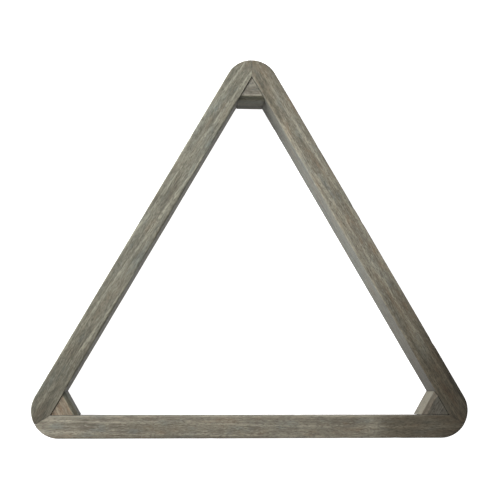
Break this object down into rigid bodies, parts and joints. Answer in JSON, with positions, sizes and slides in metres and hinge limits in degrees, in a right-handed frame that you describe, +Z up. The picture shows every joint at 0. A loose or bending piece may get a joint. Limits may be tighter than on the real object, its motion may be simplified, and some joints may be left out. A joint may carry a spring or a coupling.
{
  "type": "triangle ball rack",
  "caption": "Wooden triangle rack with mitred rails, rounded outer corners and small corner blocks, which groups pool balls on a table.",
  "frame": {"origin": "centre of the underside of the rack's bounding box, in the open middle of the triangle", "axes": "+Z up through the rack's depth as it lies on the table, +Y towards the apex, +X along the base rail to the right"},
  "size_m": [0.3618, 0.3196, 0.038],
  "materials": {
    "rail_wood": "softwood rubbed with a thin weathered-grey stain, matt, worn paler along the edges",
    "block_wood": "the same grey stain on softwood, a little warmer where the cut takes less stain, matt",
    "pin_steel": "bright steel wire, dulled"
  },
  "bodies": {
    "root": {"base_rail": "rail_wood", "left_rail": "rail_wood", "right_rail": "rail_wood", "apex_block": "block_wood", "left_block": "block_wood", "right_block": "block_wood", "base_rail_left_pin_low": "pin_steel", "base_rail_left_pin_high": "pin_steel", "base_rail_right_pin_low": "pin_steel", "base_rail_right_pin_high": "pin_steel", "left_rail_apex_pin_low": "pin_steel", "left_rail_apex_pin_high": "pin_steel", "left_rail_left_pin_low": "pin_steel", "left_rail_left_pin_high": "pin_steel", "right_rail_apex_pin_low": "pin_steel", "right_rail_apex_pin_high": "pin_steel", "right_rail_right_pin_low": "pin_steel", "right_rail_right_pin_high": "pin_steel"}
  },
  "joints": []
}
